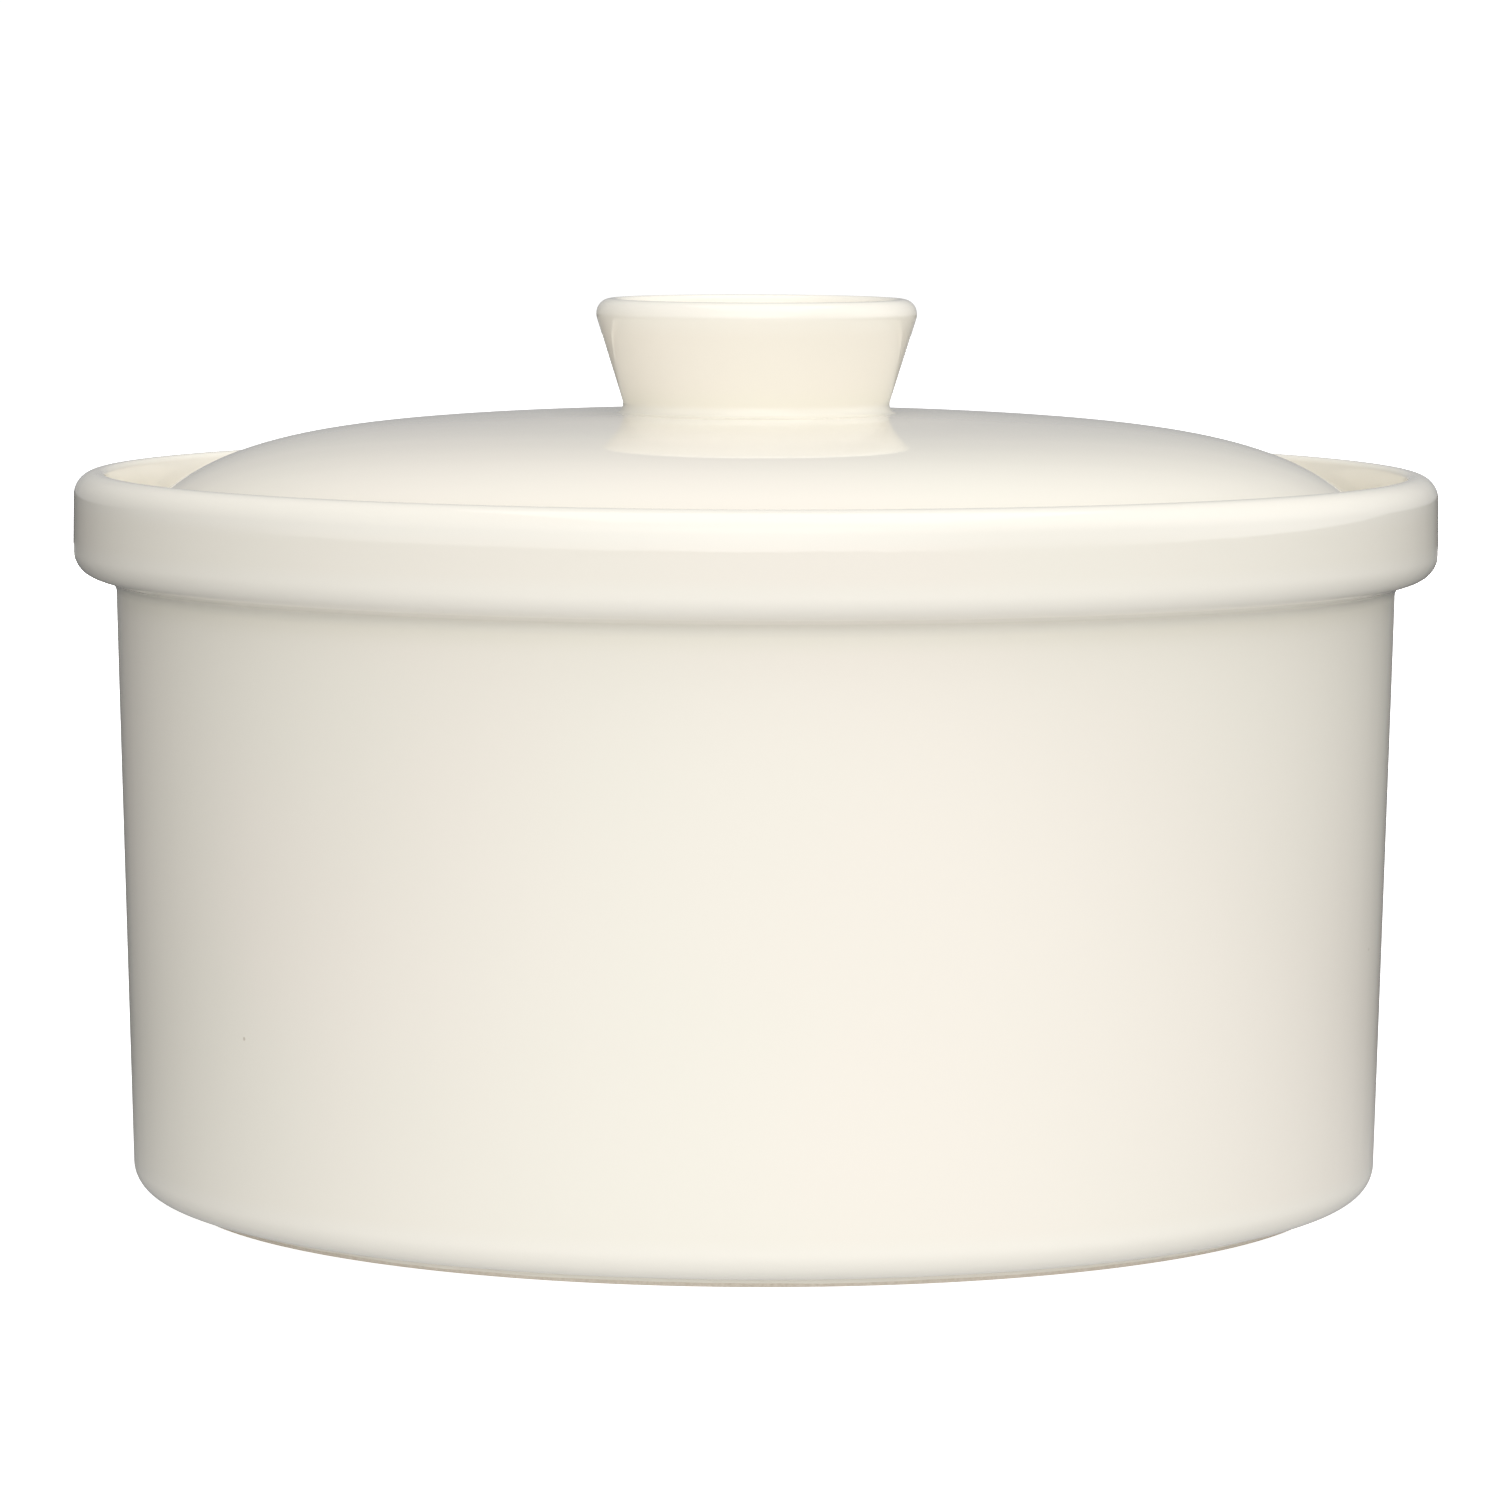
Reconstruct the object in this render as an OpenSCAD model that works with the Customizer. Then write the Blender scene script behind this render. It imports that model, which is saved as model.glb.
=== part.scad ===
// Covered casserole dish: a straight-sided ceramic pot with a thick collar,
// a domed lid that sits down inside the collar, and a hollow flared knob.
// Every piece is turned about the Z axis, and the pot stands on z = 0.
// Dimensions are in millimetres.

/* [Pot] */
// Height of the pot, from the ground to the top of its lip
pot_h = 115.2; // [90:0.1:150]
// Outer diameter of the wall where it meets the collar
wall_top_d = 202.2; // [200:0.1:204]
// Outer diameter of the wall at the base
wall_base_d = 197.2; // [194:0.1:202]
// Thickness of the wall
wall_t = 5.3; // [4.8:0.1:6.2]
// Height of the floor's inner face above the ground
floor_z = 8; // [6:0.5:10]
// Radius of the outer edge between the wall and the base
base_edge_r = 4.3; // [2:0.1:5]
// Radius of the inner edge between the wall and the floor
floor_edge_r = 10; // [4:0.5:14]

/* [Foot ring] */
// Outer diameter of the foot ring
foot_d = 183; // [176:0.5:184]
// Height of the foot ring below the base
foot_h = 1.7; // [1:0.1:3]
// Width of the foot ring
foot_w = 8; // [5:0.5:12]

/* [Collar] */
// Widest diameter of the pot, at the bottom of the collar
collar_d = 215.6; // [214:0.1:218]
// Height of the collar's outer face
collar_h = 15.2; // [14:0.1:15.5]
// Height that the underside of the collar climbs from the wall outwards
collar_rise = 2.1; // [1.5:0.1:3]
// Amount by which the collar's radius shrinks towards the lip
collar_lean = 0.2; // [0:0.1:0.4]
// Thickness of the lip
lip_t = 4.8; // [4.8:0.1:5.4]
// Depth of the ledge that carries the lid, below the lip
ledge_depth = 13.6; // [13:0.1:14]

/* [Lid] */
// Clearance all round between the lid and the collar
lid_gap = 1.2; // [0.8:0.1:1.8]
// Height of the crown above the ledge
crown_rise = 23.1; // [22:0.1:28]
// Thickness of the lid at its crown
lid_t = 5; // [4:0.1:6]
// Part of the crown's height that falls away in its broad shallow curve
crown_sag = 6; // [4:0.1:8]
// Sharpness of the shoulder, where the crown turns down to the edge
shoulder_power = 7.4; // [6.5:0.1:9]

/* [Knob] */
// Outer diameter at the neck
knob_neck_d = 41.2; // [36:0.1:44]
// Outer diameter at the top
knob_top_d = 52.4; // [48:0.1:56]
// Height of the knob above the lid
knob_h = 18; // [15:0.1:24]
// Thickness of the knob's wall
knob_t = 4.1; // [3.4:0.1:5]
// Radius of the fillet between the knob and the lid
knob_fillet_r = 1.4; // [0.8:0.1:2]

/* [Hidden] */

GLAZE = [0.95, 0.92, 0.85];
TURN_STEPS = 180;
CORNER_STEPS = 8;
CURVE_STEPS = 32;
// Points closer than this are one point
SAME_POINT = 0.001;

// Pot
wall_top_r = wall_top_d / 2;
wall_base_r = wall_base_d / 2;
foot_r = foot_d / 2;
foot_inner_r = foot_r - foot_w;
recess_z = foot_h + 0.2;
collar_r = collar_d / 2;
lip_r = collar_r - collar_lean;
lip_inner_r = lip_r - lip_t;
collar_base_z = pot_h - collar_h;
collar_root_z = collar_base_z - collar_rise;
ledge_z = pot_h - ledge_depth;
// The collar's inner face narrows towards the ledge, so the lid centres itself
ledge_r = lip_inner_r - 0.8;

// Edge radii of the pot
foot_edge_r = 0.4;
recess_edge_r = 0.8;
collar_root_fillet_r = 2.2;
collar_edge_r = 4;
lip_outer_edge_r = 3.6;
lip_inner_edge_r = 1;
ledge_fillet_r = 2;
ledge_edge_r = 1.5;

// Lid
lid_r = ledge_r - lid_gap;
crown_z = ledge_z + crown_rise;
// Radii at which the domed faces would reach the level of the ledge
upper_span = lid_r + 3;
lower_span = lid_r - 4;
// Where the domed faces give way to the rounded edges of the lid
upper_end_r = lid_r - 1;
lower_end_r = lower_span - 1;
lid_edge_r = 1.6;
lid_foot_edge_r = 1.2;
seat_edge_r = 0.6;

// Knob
knob_neck_r = knob_neck_d / 2;
knob_top_r = knob_top_d / 2;
knob_flare = (knob_top_r - knob_neck_r) / knob_h;
knob_flare_angle = atan(knob_flare);
// The knob's foot ends where its fillet runs out flat onto the lid
knob_foot_r = knob_neck_r + knob_fillet_r / tan((90 - knob_flare_angle) / 2);
// The crown is flat where the knob is fixed to it
knob_seat_z = crown_z - fall(knob_foot_r, upper_span, crown_rise);
knob_top_z = knob_seat_z + knob_h;
knob_floor_z = knob_seat_z + knob_t;
knob_floor_r = knob_neck_r - knob_t + knob_flare * knob_t;
// The two roundings share the lip's flat top and almost use it up
knob_lip_outer_r = 0.78 * knob_t * tan((90 - knob_flare_angle) / 2);
knob_lip_inner_r = 0.2 * knob_t * tan((90 + knob_flare_angle) / 2);
knob_floor_edge_r = 6;

// Unit vector along v
function unit(v) = v / norm(v);

// Smallest signed turn from angle a to angle b
function turn(a, b) = let (d = b - a) d > 180 ? d - 360 : d < -180 ? d + 360 : d;

// Points of the arc of radius r that rounds corner b, between corners a and c
function corner_arc(a, b, c, r) =
    r == 0 ? [b] :
    let (
        u = unit(a - b),
        v = unit(c - b),
        half = acos(u * v) / 2,
        centre = b + unit(u + v) * r / sin(half),
        first = b + u * r / tan(half) - centre,
        last = b + v * r / tan(half) - centre,
        start = atan2(first.y, first.x),
        sweep = turn(start, atan2(last.y, last.x))
    )
    [for (i = [0 : CORNER_STEPS])
        let (angle = start + sweep * i / CORNER_STEPS)
        centre + r * [cos(angle), sin(angle)]];

// Outline through corners given as [distance from the axis, height, edge radius].
// An arc that starts right on the corner before it shares that corner's point
function rounded(corners) =
    let (
        count = len(corners),
        at = [for (c = corners) [c[0], c[1]]],
        points = [for (i = [0 : count - 1])
            each corner_arc(at[(i + count - 1) % count], at[i], at[(i + 1) % count], corners[i][2])],
        last = len(points) - 1
    )
    [for (i = [0 : last])
        if (norm(points[i] - points[i < last ? i + 1 : 0]) > SAME_POINT) points[i]];

// Fall of a domed face below its crown at radius r: a broad shallow curve and a
// shoulder, which have fallen by depth at radius span
function fall(r, span, depth) =
    let (s = r / span)
    crown_sag * s * s + (depth - crown_sag) * pow(s, shoulder_power);

// Corners along a domed face from radius r0 to radius r1
function domed(r0, r1, top, span, depth) =
    [for (i = [0 : CURVE_STEPS])
        let (r = r0 + (r1 - r0) * i / CURVE_STEPS)
        [r, top - fall(r, span, depth), 0]];

module turned(corners) {
    rotate_extrude($fn = TURN_STEPS) polygon(rounded(corners));
}

module pot() {
    color(GLAZE) turned([
        [0, recess_z, 0],
        [foot_inner_r, recess_z, recess_edge_r],
        [foot_inner_r, 0, foot_edge_r],
        [foot_r, 0, foot_edge_r],
        [foot_r, foot_h, 0],
        [wall_base_r, foot_h, base_edge_r],
        [wall_top_r, collar_root_z, collar_root_fillet_r],
        [collar_r, collar_base_z, collar_edge_r],
        [lip_r, pot_h, lip_outer_edge_r],
        [lip_inner_r, pot_h, lip_inner_edge_r],
        [ledge_r, ledge_z, ledge_fillet_r],
        [wall_top_r - wall_t, ledge_z, ledge_edge_r],
        [wall_base_r - wall_t, floor_z, floor_edge_r],
        [0, floor_z, 0]
    ]);
}

module lid() {
    vault_z = crown_z - lid_t;
    color(GLAZE) turned(concat(
        [[0, vault_z, 0], [0, knob_seat_z, 0]],
        domed(knob_foot_r, upper_end_r, crown_z, upper_span, crown_rise),
        [
            [lid_r, crown_z - fall(lid_r, upper_span, crown_rise), lid_edge_r],
            [lid_r, ledge_z, lid_foot_edge_r],
            [lower_span, ledge_z, seat_edge_r]
        ],
        domed(lower_end_r, 1, vault_z, lower_span, crown_rise - lid_t)
    ));
}

module lid_knob() {
    color(GLAZE) turned([
        [0, knob_seat_z, 0],
        [knob_foot_r, knob_seat_z, 0],
        [knob_neck_r, knob_seat_z, knob_fillet_r],
        [knob_top_r, knob_top_z, knob_lip_outer_r],
        [knob_top_r - knob_t, knob_top_z, knob_lip_inner_r],
        [knob_floor_r, knob_floor_z, knob_floor_edge_r],
        [0, knob_floor_z, 0]
    ]);
}

pot();
lid();
lid_knob();
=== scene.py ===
"""Covered casserole dish: a glazed pot, its domed lid and the lid's hollow knob.

Every piece is turned about the Z axis from an outline of corners, each with its own edge
radius. Heights and the lid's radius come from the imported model. Outlines are in millimetres,
and turned() makes them into meshes in metres. Materials and the studio are in metres.
"""

import math

import bpy
from mathutils import Matrix, Vector


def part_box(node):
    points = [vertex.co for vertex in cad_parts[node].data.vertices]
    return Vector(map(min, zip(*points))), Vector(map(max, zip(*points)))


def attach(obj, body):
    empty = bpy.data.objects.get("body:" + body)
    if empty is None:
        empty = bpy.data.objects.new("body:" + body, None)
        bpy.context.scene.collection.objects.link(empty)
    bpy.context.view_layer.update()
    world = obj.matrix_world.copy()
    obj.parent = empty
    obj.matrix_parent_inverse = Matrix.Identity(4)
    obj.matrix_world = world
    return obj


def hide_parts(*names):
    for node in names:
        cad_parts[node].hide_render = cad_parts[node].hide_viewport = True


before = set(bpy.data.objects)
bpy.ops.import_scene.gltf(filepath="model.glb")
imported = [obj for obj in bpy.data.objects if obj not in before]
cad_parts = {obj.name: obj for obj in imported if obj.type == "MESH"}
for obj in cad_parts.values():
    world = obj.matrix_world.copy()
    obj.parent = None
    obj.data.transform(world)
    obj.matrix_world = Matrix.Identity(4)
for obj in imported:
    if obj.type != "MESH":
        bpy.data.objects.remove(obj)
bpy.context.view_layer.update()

MM = 0.001


def extent(node):
    """Outer radius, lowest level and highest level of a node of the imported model."""
    low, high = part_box(node)
    return high.x / MM, low.z / MM, high.z / MM


GROUND_Z, POT_H = extent("pot")[1:]
LID_R, LEDGE_Z, KNOB_SEAT_Z = extent("lid")
KNOB_TOP_Z = extent("lid_knob")[2]

# Pot
WALL_TOP_R = 101.1
WALL_BASE_R = 98.6
WALL_T = 5.3
BASE_EDGE_R = 4.3
FLOOR_Z = 8.0
FLOOR_EDGE_R = 10.0

# Foot ring, and the recess in the base inside it
FOOT_R = 91.5
FOOT_H = 1.7
FOOT_W = 8.0
FOOT_EDGE_R = 0.4
FOOT_FILLET_R = 0.3
RECESS_Z = 1.9
RECESS_EDGE_R = 0.8

# Collar, and the ledge inside it
COLLAR_R = 107.8
COLLAR_H = 15.2
COLLAR_RISE = 2.1
COLLAR_EDGE_R = 4.0
COLLAR_FILLET_R = 2.2
LIP_R = 107.6
LIP_T = 4.8
LIP_OUTER_EDGE_R = 3.6
LIP_INNER_EDGE_R = 1.0
LEDGE_R = 102.0
LEDGE_EDGE_R = 1.5
LEDGE_FILLET_R = 2.0

# Lid, whose domed faces would reach the level of the ledge at their spans
CROWN_RISE = 23.1
LID_T = 5.0
CROWN_SAG = 6.0
SHOULDER_POWER = 7.4
UPPER_SPAN = LID_R + 3
UPPER_END_R = LID_R - 1
LOWER_SPAN = LID_R - 4
LOWER_END_R = LOWER_SPAN - 1
VAULT_START_R = 1.0
LID_EDGE_R = 1.6
LID_FOOT_EDGE_R = 1.2
SEAT_EDGE_R = 0.6

# Knob, whose foot ends where its fillet runs out flat onto the lid
NECK_R = 20.6
KNOB_R = 26.2
KNOB_T = 4.1
KNOB_FILLET_R = 1.4
KNOB_FLOOR_EDGE_R = 6.0
KNOB_SLOPE = (KNOB_R - NECK_R) / (KNOB_TOP_Z - KNOB_SEAT_Z)
KNOB_FLARE = math.atan(KNOB_SLOPE)
KNOB_FOOT_R = NECK_R + KNOB_FILLET_R / math.tan((math.pi / 2 - KNOB_FLARE) / 2)

# The two roundings of the knob's lip take these parts of its flat top
KNOB_LIP_OUTER = 0.78
KNOB_LIP_INNER = 0.2

# Fineness of the meshes
SEGMENTS = 320
ARC_STEPS = 14
CURVE_STEPS = 44
LONGEST_STEP = 3.0
SAME_POINT = 1e-4
SHARP_EDGE = math.radians(50)

# How far from a bend the glaze runs, and the bend in radians that draws it fully
FLOW_SPREAD = 1.6
FULL_FLOW_BEND = 0.5


# ---------------------------------------------------------------- outlines

def corner_arc(before, corner, after, radius):
    """Points of the arc that rounds a corner between its two neighbours."""
    u = (before - corner).normalized()
    v = (after - corner).normalized()
    half = u.angle(v) / 2
    centre = corner + (u + v).normalized() * radius / math.sin(half)
    first = corner + u * radius / math.tan(half) - centre
    last = corner + v * radius / math.tan(half) - centre
    start = math.atan2(first.y, first.x)
    sweep = math.atan2(first.cross(last), first.dot(last))
    angles = [start + sweep * i / ARC_STEPS for i in range(ARC_STEPS + 1)]
    return [centre + Vector((math.cos(a), math.sin(a))) * radius for a in angles]


def rounded(corners):
    """Outline through corners (radius, height, edge radius), from the axis to the axis."""
    at = [Vector(corner[:2]) for corner in corners]
    outline = [at[0]]
    for i in range(1, len(corners) - 1):
        edge = corners[i][2]
        outline += corner_arc(at[i - 1], at[i], at[i + 1], edge) if edge else [at[i]]
    return outline + [at[-1]]


def evenly(outline):
    """The same outline with no step longer than LONGEST_STEP and no point twice."""
    points = [outline[0]]
    for target in outline[1:]:
        here = points[-1]
        gap = (target - here).length
        if gap < SAME_POINT:
            continue
        steps = math.ceil(gap / LONGEST_STEP)
        points += [here.lerp(target, i / steps) for i in range(1, steps + 1)]
    return points


def fall(radius, span, depth):
    """Fall of a domed face below its crown, which reaches depth at radius span."""
    s = radius / span
    return CROWN_SAG * s**2 + (depth - CROWN_SAG) * s**SHOULDER_POWER


def domed(start, end, top, span, depth):
    """Corners along a domed face from one radius to another."""
    radii = [start + (end - start) * i / CURVE_STEPS for i in range(CURVE_STEPS + 1)]
    return [(r, top - fall(r, span, depth), 0) for r in radii]


# ---------------------------------------------------------------- meshes

def glaze_flow(outline):
    """For each point, how the glaze has run: +1 pooled in a hollow, -1 thin on an edge."""
    bends = [0.0]
    for before, here, after in zip(outline, outline[1:], outline[2:]):
        u, v = here - before, after - here
        bends.append(math.atan2(u.cross(v), u.dot(v)))
    bends.append(0.0)
    flow = []
    for here in outline:
        near = sum(
            bend * math.exp(-((here - there).length_squared) / (2 * FLOW_SPREAD**2))
            for bend, there in zip(bends, outline)
            if abs(bend) < math.pi / 2
        )
        flow.append(max(-1.0, min(1.0, -near / FULL_FLOW_BEND)))
    return flow


def turned(name, corners, body, material):
    """Turns an outline about the Z axis into a closed mesh of quads with a fan at each pole."""
    outline = evenly(rounded(corners))
    flow = glaze_flow(outline)
    angles = [2 * math.pi * k / SEGMENTS for k in range(SEGMENTS)]
    vertices = [(0, 0, outline[0].y * MM)]
    flows = [flow[0]]
    for point, amount in zip(outline[1:-1], flow[1:-1]):
        r, z = point * MM
        vertices += [(r * math.cos(a), r * math.sin(a), z) for a in angles]
        flows += [amount] * SEGMENTS
    vertices.append((0, 0, outline[-1].y * MM))
    flows.append(flow[-1])

    rings = len(outline) - 2
    last = len(vertices) - 1
    faces = []
    for k in range(SEGMENTS):
        beside = (k + 1) % SEGMENTS
        faces.append((0, 1 + beside, 1 + k))
        for ring in range(rings - 1):
            a = 1 + ring * SEGMENTS
            b = a + SEGMENTS
            faces.append((a + k, a + beside, b + beside, b + k))
        top = 1 + (rings - 1) * SEGMENTS
        faces.append((top + k, top + beside, last))

    mesh = bpy.data.meshes.new(name)
    mesh.from_pydata(vertices, [], faces)
    mesh.attributes.new("glaze_flow", "FLOAT", "POINT").data.foreach_set("value", flows)
    mesh.polygons.foreach_set("use_smooth", [True] * len(faces))
    mesh.set_sharp_from_angle(angle=SHARP_EDGE)
    mesh.materials.append(material)
    piece = bpy.data.objects.new(name, mesh)
    bpy.context.scene.collection.objects.link(piece)
    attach(piece, body)
    return piece


# ---------------------------------------------------------------- materials

class Nodes:
    """Short calls for building one node tree."""

    def __init__(self, tree):
        self.tree = tree
        self.tree.nodes.clear()

    def add(self, kind, **settings):
        node = self.tree.nodes.new("ShaderNode" + kind)
        for key, value in settings.items():
            setattr(node, key, value)
        return node

    def put(self, value, socket):
        """Links an output to a socket, or sets the socket to a value."""
        if isinstance(value, bpy.types.NodeSocket):
            self.tree.links.new(value, socket)
        else:
            socket.default_value = value

    def feed(self, node, **inputs):
        """Puts outputs or values into inputs by name, with _ for a space."""
        for key, value in inputs.items():
            self.put(value, node.inputs[key.replace("_", " ")])
        return node

    def math(self, operation, a, b=0.0):
        node = self.add("Math", operation=operation)
        self.put(a, node.inputs[0])
        self.put(b, node.inputs[1])
        return node.outputs[0]

    def ramp(self, value, low, high, out_low=0.0, out_high=1.0):
        """Smooth step from out_low at low to out_high at high, which may be the lesser."""
        node = self.add("MapRange", interpolation_type="SMOOTHSTEP")
        self.feed(node, Value=value, From_Min=low, From_Max=high, To_Min=out_low, To_Max=out_high)
        return node.outputs["Result"]

    def mix(self, amount, a, b):
        """Colour between a, where amount is 0, and b, where it is 1."""
        node = self.add("Mix", data_type="RGBA")
        self.put(amount, node.inputs[0])
        self.put(a, node.inputs[6])
        self.put(b, node.inputs[7])
        return node.outputs[2]

    def noise(self, where, size, detail=2.0):
        """Noise with features of about this size in metres, from 0 to 1."""
        node = self.add("TexNoise")
        self.feed(node, Vector=where, Scale=1 / size, Detail=detail)
        return node.outputs["Fac"]


CREAM = (0.870, 0.833, 0.738, 1)
CREAM_PINK = (0.882, 0.831, 0.742, 1)
CREAM_POOLED = (0.860, 0.823, 0.718, 1)
CREAM_THIN = (0.890, 0.855, 0.770, 1)
SPECK = (0.42, 0.34, 0.24, 1)
BARE_CLAY = (0.74, 0.67, 0.57, 1)

# Range of values that most of a noise lies in
NOISE_RANGE = (0.3, 0.7)

# Colour: the drift of the glaze's hue, and the grain of the bare clay
DRIFT_SIZE = 0.07
DRIFT_RANGE = (0.35, 0.65)
GRAIN_SIZE = 0.0006
GRAIN_DEPTH = 0.25

# Flow past which the pooled or the thin colour starts to show, and how much of it shows at most
FLOW_START = 0.1
FLOW_DEPTH = 0.8

# Gloss: roughness of the glaze at its glossiest and dullest, of the clay, and what a speck adds
SHEEN_SIZE = 0.02
GLOSSIEST = 0.012
DULLEST = 0.03
CLAY_ROUGHNESS = 0.85
SPECK_ROUGHNESS = 0.15
GLAZE_IOR = 1.5

# Relief: height of the ripple, and heights of the rest as parts of it
RIPPLE_SIZE = 0.009
RIPPLE_HEIGHT = 0.00001
PEEL_SIZE = 0.0022
PEEL_HEIGHT = 0.12
GRIT_HEIGHT = 3.0
SPECK_PIT = 0.6

# Specks: size of the cells that may each hold one, the random pick above which a cell does, the
# parts of a cell at which a speck has faded out and is full, and how much of its colour shows
SPECK_CELL = 0.009
SPECK_PICK = 0.72
SPECK_OUTER = 0.045
SPECK_INNER = 0.02
SPECK_DEPTH = 0.5

# Levels below which the clay is bare, how the glaze's edge wanders there, and half its blur
POT_BARE_BELOW = 0.6 * MM
LID_BARE_BELOW = (LEDGE_Z + 0.5) * MM
NOTHING_BARE = -1.0
WANDER_SIZE = 0.012
WANDER = 0.15 * MM
BARE_EDGE = 0.06 * MM


def glaze_colour(n, where, flow):
    """Cream that drifts a little in hue, deeper where it pooled and paler on thin edges."""
    drift = n.ramp(n.noise(where, DRIFT_SIZE), *DRIFT_RANGE)
    colour = n.mix(drift, CREAM, CREAM_PINK)
    pooled = n.ramp(flow, FLOW_START, 1.0, 0.0, FLOW_DEPTH)
    thin = n.ramp(flow, -FLOW_START, -1.0, 0.0, FLOW_DEPTH)
    colour = n.mix(pooled, colour, CREAM_POOLED)
    return n.mix(thin, colour, CREAM_THIN)


def specks(n, where):
    """Sparse iron specks under the glaze, about half a millimetre across."""
    cells = n.add("TexVoronoi", feature="F1")
    n.feed(cells, Vector=where, Scale=1 / SPECK_CELL)
    chosen = n.math("GREATER_THAN", cells.outputs["Color"], SPECK_PICK)
    dot = n.ramp(cells.outputs["Distance"], SPECK_OUTER, SPECK_INNER)
    return n.math("MULTIPLY", chosen, dot)


def bare_mask(n, where, level):
    """1 on the wiped clay below a level, whose edge wanders a little."""
    height = n.feed(n.add("SeparateXYZ"), Vector=where).outputs["Z"]
    wander = n.ramp(n.noise(where, WANDER_SIZE), 0.0, 1.0, -WANDER, WANDER)
    above = n.math("SUBTRACT", height, level)
    return n.ramp(n.math("ADD", above, wander), BARE_EDGE, -BARE_EDGE)


def glaze(name, bare_below):
    """Glossy cream glaze over clay that is left bare below a level in metres."""
    material = bpy.data.materials.new(name)
    material.use_nodes = True
    n = Nodes(material.node_tree)
    where = n.add("TexCoord").outputs["Object"]
    flow = n.add("Attribute", attribute_name="glaze_flow").outputs["Fac"]
    bare = bare_mask(n, where, bare_below)
    speck = specks(n, where)

    colour = glaze_colour(n, where, flow)
    colour = n.mix(n.math("MULTIPLY", speck, SPECK_DEPTH), colour, SPECK)
    grain = n.noise(where, GRAIN_SIZE, detail=4.0)
    clay = n.mix(n.ramp(grain, *NOISE_RANGE, 0.0, GRAIN_DEPTH), BARE_CLAY, SPECK)
    colour = n.mix(bare, colour, clay)

    sheen = n.ramp(n.noise(where, SHEEN_SIZE), *NOISE_RANGE, GLOSSIEST, DULLEST)
    sheen = n.math("ADD", sheen, n.math("MULTIPLY", speck, SPECK_ROUGHNESS))
    clay_roughness = n.math("MULTIPLY", n.ramp(bare, 0.0, 1.0), CLAY_ROUGHNESS)
    roughness = n.math("MAXIMUM", sheen, clay_roughness)

    height = n.noise(where, RIPPLE_SIZE, detail=1.0)
    height = n.math("ADD", height, n.math("MULTIPLY", n.noise(where, PEEL_SIZE), PEEL_HEIGHT))
    grit = n.math("MULTIPLY", grain, bare)
    height = n.math("ADD", height, n.math("MULTIPLY", grit, GRIT_HEIGHT))
    height = n.math("SUBTRACT", height, n.math("MULTIPLY", speck, SPECK_PIT))
    bump = n.feed(n.add("Bump"), Height=height, Distance=RIPPLE_HEIGHT, Strength=1.0)

    shader = n.add("BsdfPrincipled")
    n.feed(shader, Base_Color=colour, Roughness=roughness, IOR=GLAZE_IOR)
    n.feed(shader, Normal=bump.outputs["Normal"])
    n.feed(n.add("OutputMaterial"), Surface=shader.outputs["BSDF"])
    return material


# ---------------------------------------------------------------- pieces

def make_pot():
    """The pot, with its collar, the ledge that carries the lid and the foot ring in one."""
    collar_base_z = POT_H - COLLAR_H
    corners = [
        (0, RECESS_Z, 0),
        (FOOT_R - FOOT_W, RECESS_Z, RECESS_EDGE_R),
        (FOOT_R - FOOT_W, GROUND_Z, FOOT_EDGE_R),
        (FOOT_R, GROUND_Z, FOOT_EDGE_R),
        (FOOT_R, FOOT_H, FOOT_FILLET_R),
        (WALL_BASE_R, FOOT_H, BASE_EDGE_R),
        (WALL_TOP_R, collar_base_z - COLLAR_RISE, COLLAR_FILLET_R),
        (COLLAR_R, collar_base_z, COLLAR_EDGE_R),
        (LIP_R, POT_H, LIP_OUTER_EDGE_R),
        (LIP_R - LIP_T, POT_H, LIP_INNER_EDGE_R),
        (LEDGE_R, LEDGE_Z, LEDGE_FILLET_R),
        (WALL_TOP_R - WALL_T, LEDGE_Z, LEDGE_EDGE_R),
        (WALL_BASE_R - WALL_T, FLOOR_Z, FLOOR_EDGE_R),
        (0, FLOOR_Z, 0),
    ]
    material = glaze("pot_glaze", POT_BARE_BELOW)
    pot = turned("glazed_pot", corners, "pot", material)
    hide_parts("pot")


def make_lid():
    """The domed lid, whose rim stands on the ledge inside the collar."""
    crown_z = LEDGE_Z + CROWN_RISE
    vault_z = crown_z - LID_T
    corners = [
        (0, KNOB_SEAT_Z, 0),
        *domed(KNOB_FOOT_R, UPPER_END_R, crown_z, UPPER_SPAN, CROWN_RISE),
        (LID_R, crown_z - fall(LID_R, UPPER_SPAN, CROWN_RISE), LID_EDGE_R),
        (LID_R, LEDGE_Z, LID_FOOT_EDGE_R),
        (LOWER_SPAN, LEDGE_Z, SEAT_EDGE_R),
        *domed(LOWER_END_R, VAULT_START_R, vault_z, LOWER_SPAN, CROWN_RISE - LID_T),
        (0, vault_z, 0),
    ]
    material = glaze("lid_glaze", LID_BARE_BELOW)
    lid = turned("domed_lid", corners[::-1], "lid", material)
    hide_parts("lid")


def make_knob():
    """The hollow flared knob, with its slip fillet onto the lid."""
    floor_z = KNOB_SEAT_Z + KNOB_T
    outer_edge = KNOB_LIP_OUTER * KNOB_T * math.tan((math.pi / 2 - KNOB_FLARE) / 2)
    inner_edge = KNOB_LIP_INNER * KNOB_T * math.tan((math.pi / 2 + KNOB_FLARE) / 2)
    corners = [
        (0, KNOB_SEAT_Z, 0),
        (KNOB_FOOT_R, KNOB_SEAT_Z, 0),
        (NECK_R, KNOB_SEAT_Z, KNOB_FILLET_R),
        (KNOB_R, KNOB_TOP_Z, outer_edge),
        (KNOB_R - KNOB_T, KNOB_TOP_Z, inner_edge),
        (NECK_R - KNOB_T + KNOB_SLOPE * KNOB_T, floor_z, KNOB_FLOOR_EDGE_R),
        (0, floor_z, 0),
    ]
    material = glaze("knob_glaze", NOTHING_BARE)
    knob = turned("hollow_knob", corners, "lid", material)
    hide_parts("lid_knob")


# ---------------------------------------------------------------- studio

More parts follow.
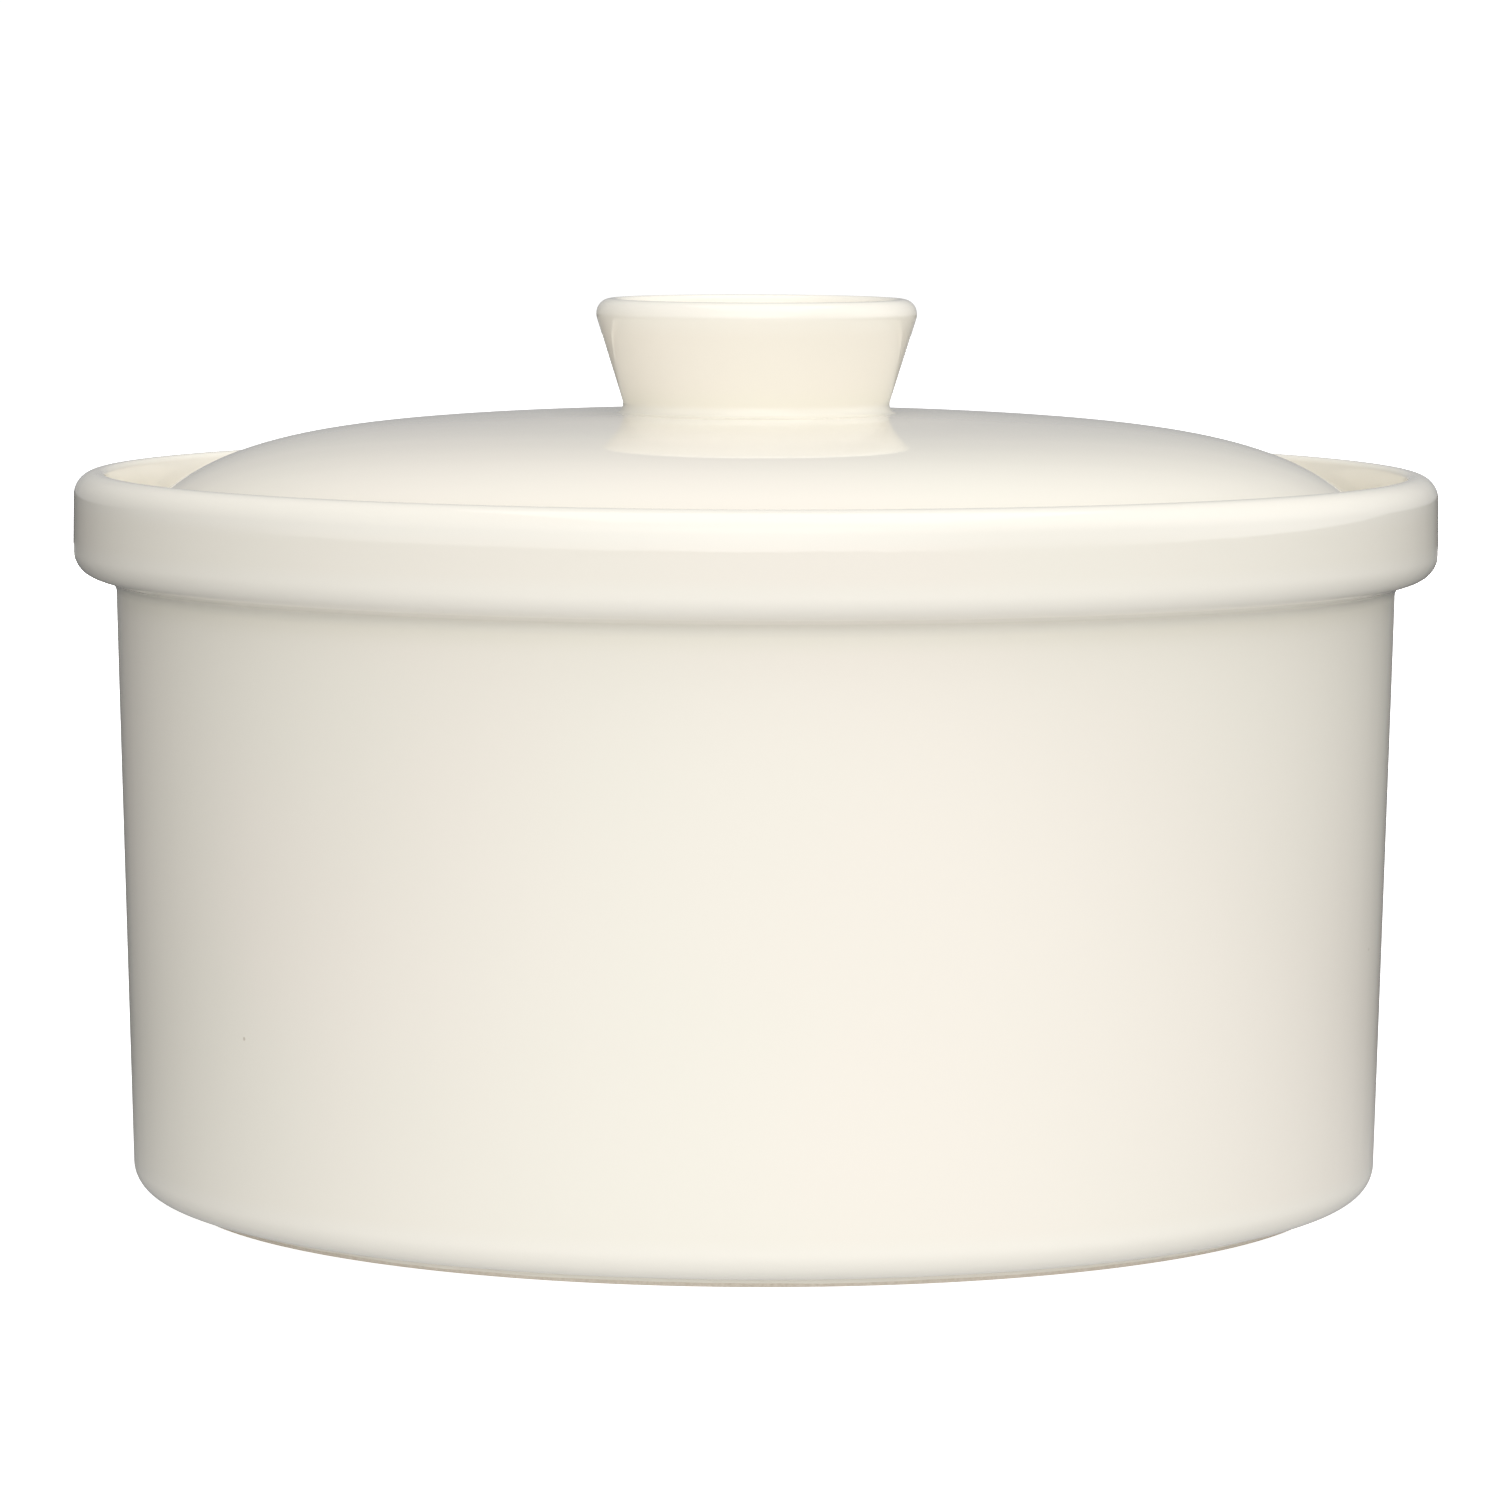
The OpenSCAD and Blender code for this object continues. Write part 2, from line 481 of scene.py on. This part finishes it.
# Floor, which lies a hair below the foot: it looks white, and the glaze mirrors it dark
FLOOR_R = 4.0
FLOOR_SIDES = 96
FLOOR_GAP = 0.05 * MM
FLOOR_SEEN = (0.9, 0.9, 0.9, 1)
FLOOR_LIFT = 0.85
FLOOR_MIRRORED = (0.15, 0.15, 0.15, 1)
# Pools of light painted on the floor as a glow, which the glaze mirrors and which light the dish
# from below: centre, inner and outer radius, brightness
POOLS = {
    "front": ((0.06, -0.4, 0), 0.15, 0.62, 0.6),
    "near": ((0, -0.15, 0), 0.05, 0.2, 0.11),
}

WHITE = (1.05, 1.05, 1.05, 1)
ROOM_TONE = 0.26
# Soft glows of the room: azimuth from the camera's side, elevation, tightness, strength
GLOWS = {
    "front": (0, 14, 6, 2.32),
    "right": (92, 8, 6, 1.4),
    "right_high": (90, 55, 4, 0.2),
    "left": (-60, 5, 6, 0.85),
    "back_low": (180, 5, 30, 0.13),
    "back_high": (180, 50, 6, 0.2),
}

# Softboxes: size in metres, power in watts, place in metres, tilt in degrees
OVERHEAD = ((1.1, 1.25), 5.1, (0.08, -0.2, 1.25), 0)
BEHIND = ((0.8, 0.22), 9, (0, 1.6, 0.14), -90)

# Camera: lens and sensor in millimetres, place in metres, angles in degrees
LENS = 166.7
SENSOR_W = 36
CAMERA_FAR = 50
CAMERA_PLACE = (0, -1.1, 0.1743)
CAMERA_PITCH = -5.38
CAMERA_YAW = 0.042
CAMERA_ROLL = 0.2


def pool(n, where, centre, inner, outer, brightness):
    """Brightness of one round pool of light on the floor, soft at its edge."""
    away = n.add("VectorMath", operation="DISTANCE")
    n.put(where, away.inputs[0])
    n.put(centre, away.inputs[1])
    return n.ramp(away.outputs["Value"], inner, outer, brightness, 0.0)


def shining(n, colour, strength):
    """Shader of a dull surface of this colour that also shines by itself."""
    both = n.add("AddShader")
    dull = n.feed(n.add("BsdfDiffuse"), Color=colour)
    shine = n.feed(n.add("Emission"), Strength=strength)
    n.put(dull.outputs[0], both.inputs[0])
    n.put(shine.outputs[0], both.inputs[1])
    return both.outputs[0]


def floor_material():
    """White to the camera; the glaze mirrors dark grey with pale pools of light."""
    material = bpy.data.materials.new("pale_floor")
    material.use_nodes = True
    n = Nodes(material.node_tree)
    where = n.add("TexCoord").outputs["Object"]
    shine = 0.0
    for place in POOLS.values():
        shine = n.math("ADD", pool(n, where, *place), shine)
    seen = shining(n, FLOOR_SEEN, FLOOR_LIFT)
    mirrored = shining(n, FLOOR_MIRRORED, shine)
    shown = n.add("MixShader")
    n.feed(shown, Fac=n.add("LightPath").outputs["Is Camera Ray"])
    n.put(mirrored, shown.inputs[1])
    n.put(seen, shown.inputs[2])
    n.feed(n.add("OutputMaterial"), Surface=shown.outputs[0])
    return material


def make_floor():
    """A plain round floor under the dish."""
    level = GROUND_Z * MM - FLOOR_GAP
    angles = [2 * math.pi * k / FLOOR_SIDES for k in range(FLOOR_SIDES)]
    rim = [(FLOOR_R * math.cos(a), FLOOR_R * math.sin(a), level) for a in angles]
    mesh = bpy.data.meshes.new("floor")
    mesh.from_pydata(rim, [], [tuple(range(FLOOR_SIDES))])
    mesh.materials.append(floor_material())
    floor = bpy.data.objects.new("floor", mesh)
    bpy.context.scene.collection.objects.link(floor)


def glow(n, direction, azimuth, elevation, tightness, strength):
    """Brightness of one soft glow of the room, strongest in its own direction."""
    a, e = math.radians(azimuth), math.radians(elevation)
    centre = (math.sin(a) * math.cos(e), -math.cos(a) * math.cos(e), math.sin(e))
    toward = n.add("VectorMath", operation="DOT_PRODUCT")
    n.put(direction, toward.inputs[0])
    n.put(centre, toward.inputs[1])
    off = n.math("SUBTRACT", toward.outputs["Value"], 1.0)
    return n.math("MULTIPLY", n.math("EXPONENT", n.math("MULTIPLY", off, tightness)), strength)


def make_world():
    """White behind the dish for the camera, and a room with soft glows for all else."""
    world = bpy.data.worlds.new("studio")
    world.use_nodes = True
    bpy.context.scene.world = world
    n = Nodes(world.node_tree)
    direction = n.add("TexCoord").outputs["Generated"]
    room = ROOM_TONE
    for place in GLOWS.values():
        room = n.math("ADD", glow(n, direction, *place), room)
    shown = n.mix(n.add("LightPath").outputs["Is Camera Ray"], room, WHITE)
    background = n.feed(n.add("Background"), Color=shown)
    n.feed(n.add("OutputWorld"), Surface=background.outputs[0])


def softbox(name, size, power, place, tilt):
    """An area light that the camera doesn't see, tilted about X from pointing straight down."""
    light = bpy.data.lights.new(name, "AREA")
    light.shape = "RECTANGLE"
    light.size, light.size_y = size
    light.energy = power
    lamp = bpy.data.objects.new(name, light)
    lamp.location = place
    lamp.rotation_euler = (math.radians(tilt), 0, 0)
    lamp.visible_camera = False
    bpy.context.scene.collection.objects.link(lamp)
    return lamp


def make_lights():
    """The strip along the collar mirrors the softbox overhead; nothing mirrors the one behind."""
    softbox("overhead", *OVERHEAD)
    behind = softbox("back", *BEHIND)
    behind.visible_glossy = False


def make_camera():
    """A long lens a little above the lid, which puts the dish a hair right of the middle."""
    camera = bpy.data.cameras.new("camera")
    camera.sensor_width = SENSOR_W
    camera.lens = LENS
    camera.clip_end = CAMERA_FAR
    viewer = bpy.data.objects.new("camera", camera)
    yaw = Matrix.Rotation(math.radians(CAMERA_YAW), 4, "Z")
    pitch = Matrix.Rotation(math.radians(90 + CAMERA_PITCH), 4, "X")
    roll = Matrix.Rotation(math.radians(CAMERA_ROLL), 4, "Z")
    viewer.matrix_world = Matrix.Translation(CAMERA_PLACE) @ yaw @ pitch @ roll
    bpy.context.scene.collection.objects.link(viewer)
    bpy.context.scene.camera = viewer
    bpy.context.scene.view_settings.view_transform = "Standard"


make_camera()
make_pot()
make_lid()
make_knob()
make_floor()
make_world()
make_lights()
